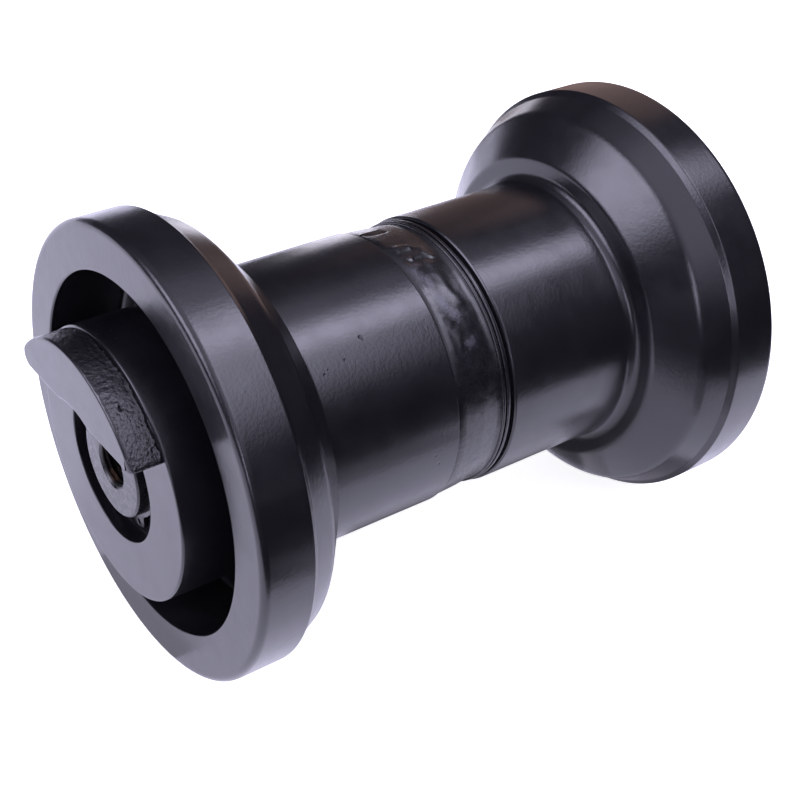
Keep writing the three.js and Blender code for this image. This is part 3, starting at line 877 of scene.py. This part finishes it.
def half_moon(name, side):
    """The step, its +X tip blunted towards the front, with a cast skin on its curved outside."""
    rows, outward_rows = [], []
    for y, inset in half_moon_levels():
        outline = half_moon_outline()
        ahead_of_nose = min(1.0, max(0.0, (y - STEP_FRONT_Y + NOSE_DEPTH) / NOSE_DEPTH))
        blunt = 0.95 * (1 - math.sqrt(1 - ahead_of_nose ** 2))
        outline[:, 0] -= blunt * np.maximum(0, outline[:, 0] - NOSE_X)
        ahead = np.roll(outline, -1, axis=0) - np.roll(outline, 1, axis=0)
        ahead /= np.linalg.norm(ahead, axis=1)[:, None]
        outward = np.stack([ahead[:, 1], -ahead[:, 0]], axis=1)
        row = outline - outward * inset
        rows.append(np.stack([row[:, 0], np.full(len(row), y * side), row[:, 1]], axis=1))
        outward_rows.append(outward)
    points, outward = np.array(rows), np.array(outward_rows)
    height = cast_skin(points, side)
    points[..., 0] += outward[..., 0] * height
    points[..., 2] += outward[..., 1] * height
    return closed_plate(name, points)


def add_collars():
    for end, side in (("left", -1), ("right", 1)):
        disc = collar_disc(end + "_disc", side)
        step = half_moon(end + "_step", side)
        add_piece(end + "_collar", boolean(disc, step, "UNION"))


# ---- circlips -------------------------------------------------------------------------------

def circlip_splines():
    """The outline, with a drilled lug beside each end of its gap, and the two lug holes."""
    inner, outer, raised = 22.0, 26.0, 1.3
    lug_radius, hole_centre, hole_radius = 29.5, 27.0, 1.25
    gap, lug = math.radians(12), math.radians(20)
    bottom = -math.pi / 2

    def polar(radius, angle):
        return (radius * math.cos(angle), radius * math.sin(angle))

    def arc(radius, start, end, count, centre=(0, 0)):
        angles = [start + (end - start) * k / (count - 1) for k in range(count)]
        return [(centre[0] + radius * math.cos(a), centre[1] + radius * math.sin(a)) for a in angles]

    outline = arc(outer, bottom + gap + lug + 0.03, 1.5 * math.pi - gap - lug - 0.03, 120, (0, raised))
    outline += arc(lug_radius, bottom - gap - lug + 0.04, bottom - gap - 0.05, 8)
    outline += [polar(lug_radius - 0.6, bottom - gap), polar(inner + 0.4, bottom - gap)]
    outline += arc(inner, 1.5 * math.pi - gap - 0.02, bottom + gap + 0.02, 120)
    outline += [polar(inner + 0.4, bottom + gap), polar(lug_radius - 0.6, bottom + gap)]
    outline += arc(lug_radius, bottom + gap + 0.05, bottom + gap + lug - 0.04, 8)
    hole_places = [polar(hole_centre, bottom + sign * (gap + lug / 2)) for sign in (-1, 1)]
    holes = [arc(hole_radius, 0, 2 * math.pi * 23 / 24, 24, place) for place in hole_places]
    return [outline, *holes]


def add_circlips():
    bevel = 0.18
    for end, side in (("left", -1), ("right", 1)):
        curve = bpy.data.curves.new(end + "_clip", "CURVE")
        curve.dimensions = "2D"
        curve.fill_mode = "BOTH"
        curve.extrude = ((CLIP_HIGH.y - CLIP_LOW.y) / 2 - bevel) * MM
        curve.bevel_depth = bevel * MM
        curve.bevel_resolution = 2
        curve.offset = -bevel * MM
        for outline in circlip_splines():
            spline = curve.splines.new("POLY")
            spline.points.add(len(outline) - 1)
            spline.use_cyclic_u = True
            for point, (x, z) in zip(spline.points, outline):
                point.co = (x * MM, z * MM, 0, 1)
        drawing = bpy.data.objects.new(end + "_clip_drawing", curve)
        bpy.context.scene.collection.objects.link(drawing)
        mesh = bpy.data.meshes.new_from_object(drawing.evaluated_get(bpy.context.evaluated_depsgraph_get()))
        bpy.data.objects.remove(drawing)
        middle = side * (CLIP_HIGH.y + CLIP_LOW.y) / 2 * MM
        mesh.transform(Matrix.Translation((0, middle, 0)) @ Matrix.Rotation(math.pi / 2, 4, "X"))
        work = bmesh.new()
        work.from_mesh(mesh)
        bmesh.ops.remove_doubles(work, verts=work.verts, dist=1e-6)
        bmesh.ops.recalc_face_normals(work, faces=work.faces)
        work.to_mesh(mesh)
        work.free()
        add_piece(end + "_circlip", mesh)


# ---- stage, light and camera ----------------------------------------------------------------

# Lengths in this part are metres.
LIGHT_TINT = (0.955, 0.937, 1.205)
FLOOR_Z = -RIM_RADIUS * MM
FLOOR_HALF_WIDTH = 6.0
FLOOR_GLOW = 0.6
FLOOR_GLOW_SEEN = 0.85
AMBIENT = 0.07
BACKDROP_SEEN = 1.3


def rectangle(x0, y0, x1, y1, z):
    return [(x0, y0, z), (x1, y0, z), (x1, y1, z), (x0, y1, z)]


def add_floor():
    """A pale floor that glows a little, evenly lit where the camera sees it."""
    half = FLOOR_HALF_WIDTH
    mesh = bpy.data.meshes.new("floor")
    mesh.from_pydata(rectangle(-half, -half, half, half, FLOOR_Z), [], [(0, 1, 2, 3)])
    floor = bpy.data.objects.new("floor", mesh)
    bpy.context.scene.collection.objects.link(floor)
    shader = Shader("pale_floor", Roughness=0.9, Specular_IOR_Level=0.0)
    grain = shader.noise(60, 2)
    shader.use("Base Color", shader.mix(grain, (0.86, 0.86, 0.86), (0.9, 0.9, 0.9)))
    seen = shader.add("ShaderNodeLightPath").outputs["Is Camera Ray"]
    shader.use("Emission Color", shader.mix(seen, LIGHT_TINT, (1.0, 1.0, 1.0)))
    shader.use("Emission Strength", shader.ramp(seen, 0.0, 1.0, FLOOR_GLOW, FLOOR_GLOW_SEEN))
    mesh.materials.append(shader.material)


# Upright cards that only reflections see: name, route of (x, y), top, colour.
FLAGS = (
    ("right_flag", ((0.28, -0.02), (0.28, 0.15), (0.19, 0.36), (0.0, 0.52)), 0.06, (0.01, 0.01, 0.01)),
    ("front_flag", ((0.28, -0.7), (0.28, -0.02)), 0.03, (0.01, 0.01, 0.01)),
    ("left_flag", ((-0.66, 0.18), (-0.59, 0.27)), 0.12, (0.12, 0.115, 0.13)),
    ("white_card", ((-0.59, 0.27), (-0.545, 0.345)), 0.13, (2.6, 2.5, 2.9)),
    ("dim_back_card", ((-0.56, 0.35), (-0.44, 0.45)), 0.5, (0.26, 0.18, 0.17)),
    ("back_card", ((-0.44, 0.45), (-0.27, 0.60)), 0.55, (0.55, 0.38, 0.36)),
)
# Painted shadows: the cards under and beside the body and under the flanges put the roller's shade on the
# floor into reflections.
# Cards just over the floor: name, low and high corner (x, y), height above the floor, colour.
FLOOR_CARDS = (
    ("shadow_under_body", (-0.06, -0.03), (0.022, 0.10), 0.0006, (0.15, 0.145, 0.18)),
    ("shadow_beside_body", (0.022, -0.03), (0.04, 0.10), 0.0006, (0.6, 0.57, 0.7)),
    ("shadow_under_right_flange", (0.03, 0.105), (0.092, 0.152), 0.0008, (0.4, 0.38, 0.48)),
    ("right_of_roller", (0.17, -0.05), (0.28, 0.10), 0.0004, (0.75, 0.72, 0.9)),
    ("right_front", (0.2, -0.7), (0.28, -0.05), 0.0002, (0.05, 0.05, 0.06)),
    ("shadow_under_left_flange", (-0.06, -0.15), (0.02, -0.10), 0.0002, (0.75, 0.72, 0.9)),
)


def add_card(name, corners, faces, colour):
    """A glowing sheet that shows in reflections only, and casts no light or shadow of its own."""
    mesh = bpy.data.meshes.new(name)
    mesh.from_pydata(corners, [], faces)
    card = bpy.data.objects.new(name, mesh)
    bpy.context.scene.collection.objects.link(card)
    shader = Shader(name, Roughness=1.0, Specular_IOR_Level=0.0, Emission_Strength=1.0)
    shader.surface.inputs["Base Color"].default_value = (0, 0, 0, 1)
    shader.surface.inputs["Emission Color"].default_value = (*colour, 1)
    mesh.materials.append(shader.material)
    card.visible_camera = False
    card.visible_diffuse = False
    card.visible_shadow = False
    card.visible_transmission = False


def add_cards():
    for name, route, top, colour in FLAGS:
        corners = [(x, y, z) for x, y in route for z in (FLOOR_Z, top)]
        faces = [(2 * i, 2 * i + 2, 2 * i + 3, 2 * i + 1) for i in range(len(route) - 1)]
        add_card(name, corners, faces, colour)
    # The floor cards put painted shade on the floor into reflections.
    for name, low_corner, high_corner, height, colour in FLOOR_CARDS:
        corners = rectangle(*low_corner, *high_corner, FLOOR_Z + height)
        add_card(name, corners, [(0, 1, 2, 3)], colour)


# Soft boxes far away: direction, half width and half height in degrees, softness, radiance.
SOFT_BOXES = (
    ((0.13, 0.51, 0.85), (8, 12), 6, 7.0),
    ((0.38, 0.36, 0.85), (12, 9), 9, 3.7),
    ((0.66, 0.32, 0.68), (11, 9), 9, 2.9),
    ((-0.22, 0.41, 0.88), (7, 9), 8, 0.9),
    ((-0.16, -0.76, 0.62), (20, 14), 9, 7.0),
    ((0.45, -0.12, 0.88), (34, 24), 18, 1.5),
    ((-0.30, 0.00, 0.95), (18, 24), 16, 0.5),
    ((0.70, -0.66, 0.25), (4, 12), 3, 7.0),
)


def soft_box(nodes, direction, towards, half_angles, softness, radiance):
    """Radiance inside a rectangle of the sky, falling softly to 0 round its edge."""
    centre = Vector(towards).normalized()
    across = Vector((1, 0, 0)) - centre * centre.x
    across.normalize()

    def part_along(axis):
        inputs = {0: direction, 1: axis}
        return nodes.add("ShaderNodeVectorMath", inputs, operation="DOT_PRODUCT").outputs["Value"]

    ahead = part_along(centre)
    value = nodes.math("GREATER_THAN", ahead, 0.05)
    for axis, half in zip((across, centre.cross(across)), half_angles):
        tangent = nodes.math("ABSOLUTE", nodes.math("DIVIDE", part_along(axis), ahead))
        outside = math.tan(math.radians(half + softness))
        inside = math.tan(math.radians(max(0, half - softness)))
        value = nodes.math("MULTIPLY", value, nodes.ramp(tangent, outside, inside))
    return nodes.math("MULTIPLY", value, radiance)


def add_sky():
    """The studio round the roller: dim, with soft boxes, and a pale backdrop for the camera."""
    world = bpy.data.worlds.new("studio")
    world.use_nodes = True
    bpy.context.scene.world = world
    nodes = Nodes(world.node_tree)
    direction = nodes.add("ShaderNodeTexCoord").outputs["Generated"]
    total = nodes.math("ADD", AMBIENT, 0.0)
    for box in SOFT_BOXES:
        total = nodes.math("ADD", total, soft_box(nodes, direction, *box))
    seen = nodes.add("ShaderNodeLightPath").outputs["Is Camera Ray"]
    inputs = {0: seen, 2: total, 3: BACKDROP_SEEN}
    strength = nodes.add("ShaderNodeMix", inputs, data_type="FLOAT").outputs[0]
    background = world.node_tree.nodes["Background"]
    world.node_tree.links.new(strength, background.inputs["Strength"])
    background.inputs["Color"].default_value = (*LIGHT_TINT, 1)


def add_camera():
    """Looks down at the left end; the view is turned a little about its own axis."""
    azimuth, elevation, roll = math.radians(52.487), math.radians(34.636), math.radians(2.825)
    distance = 6.866 * RIM_RADIUS * MM
    aside, above = -1.12 * MM, -18.42 * MM
    level = math.cos(elevation)
    back = Vector((math.sin(azimuth) * level, -math.cos(azimuth) * level, math.sin(elevation)))
    level_right = Vector((math.cos(azimuth), math.sin(azimuth), 0))
    level_up = back.cross(level_right)
    right = level_right * math.cos(roll) + level_up * math.sin(roll)
    up = level_up * math.cos(roll) - level_right * math.sin(roll)
    data = bpy.data.cameras.new("camera")
    data.sensor_width = 36
    data.lens = 67.73
    camera = bpy.data.objects.new("camera", data)
    bpy.context.scene.collection.objects.link(camera)
    turn = Matrix((right, up, back)).transposed().to_4x4()
    camera.matrix_world = Matrix.Translation(back * distance + right * aside + up * above) @ turn
    bpy.context.scene.camera = camera


add_shell_halves()
add_weld()
add_shaft()
add_oil_plug()
add_bushes_and_seals()
add_collars()
add_circlips()
add_floor()
add_cards()
add_sky()
add_camera()
bpy.context.scene.view_settings.view_transform = "Standard"
